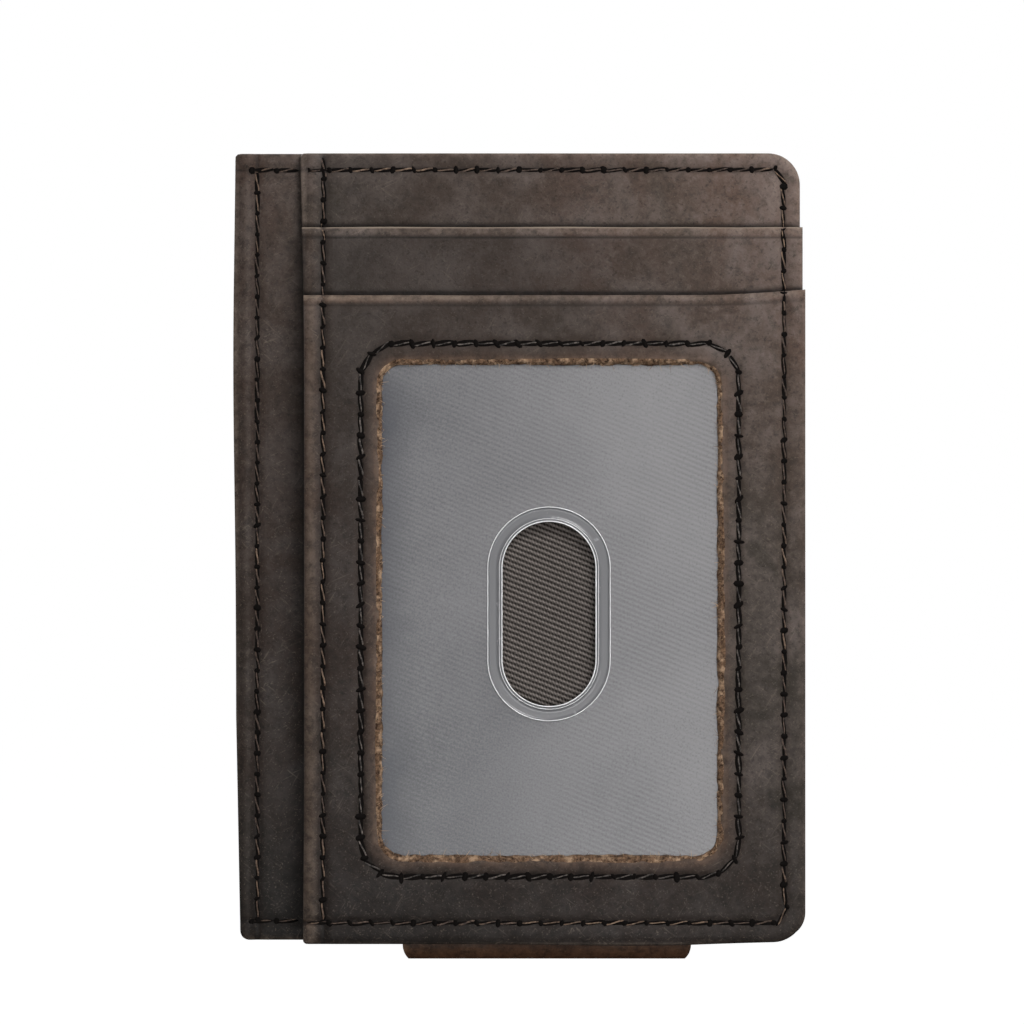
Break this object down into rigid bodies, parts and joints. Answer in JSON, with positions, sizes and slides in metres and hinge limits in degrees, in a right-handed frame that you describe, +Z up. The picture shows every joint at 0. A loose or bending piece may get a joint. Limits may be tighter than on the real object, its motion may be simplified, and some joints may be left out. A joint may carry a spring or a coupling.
{
  "type": "minimalist wallet",
  "caption": "Slim leather front-pocket wallet with a frosted ID window, a card slot, a side-entry pocket and a folding magnetic money clip on the back.",
  "frame": {"origin": "under the centre of the whole wallet, level with the lowest point of the clip's fold", "axes": "+X across the wallet to the right of its front, -Y out of the window side, +Z up towards the card mouths"},
  "size_m": [0.075, 0.012, 0.1062],
  "materials": {
    "outer_leather": "waxed, mottled dark brown, worn pale at the edges",
    "strap_leather": "waxed dark brown",
    "twill": "coarse woven twill",
    "frosted_film": "frosted soft film",
    "clear_rim": "clear welded soft plastic",
    "magnet": "nickel plated",
    "thread": "waxed polyester thread"
  },
  "bodies": {
    "wallet": {"back_panel": "outer_leather", "pocket_panel": "outer_leather", "stack_lining": "twill", "base_panel": "outer_leather", "id_lining": "twill", "slot_panel": "outer_leather", "window_frame": "outer_leather", "window_film": "frosted_film", "thumb_slot_rim": "clear_rim", "clip_strap_base": "strap_leather", "clip_lining_base": "strap_leather", "clip_base_magnets": "magnet", "perimeter_seam": "thread", "strip_seam": "thread", "stack_seam": "thread", "window_seam": "thread", "slot_strip_seam": "thread", "clip_base_seam": "thread"},
    "clip_flap": {"clip_strap_flap": "strap_leather", "clip_lining_flap": "strap_leather", "clip_flap_magnets": "magnet", "clip_flap_seam": "thread"}
  },
  "joints": [
    {"name": "clip_flap_hinge", "type": "hinge", "parent": "wallet", "child": "clip_flap", "pos_m": [0.00355, 0.00395, 0.00006], "axis": [-1, 0, 0], "range_deg": [0, 160], "stiffness_Nm_per_rad": 0.0025, "springref_deg": -28.65}
  ]
}
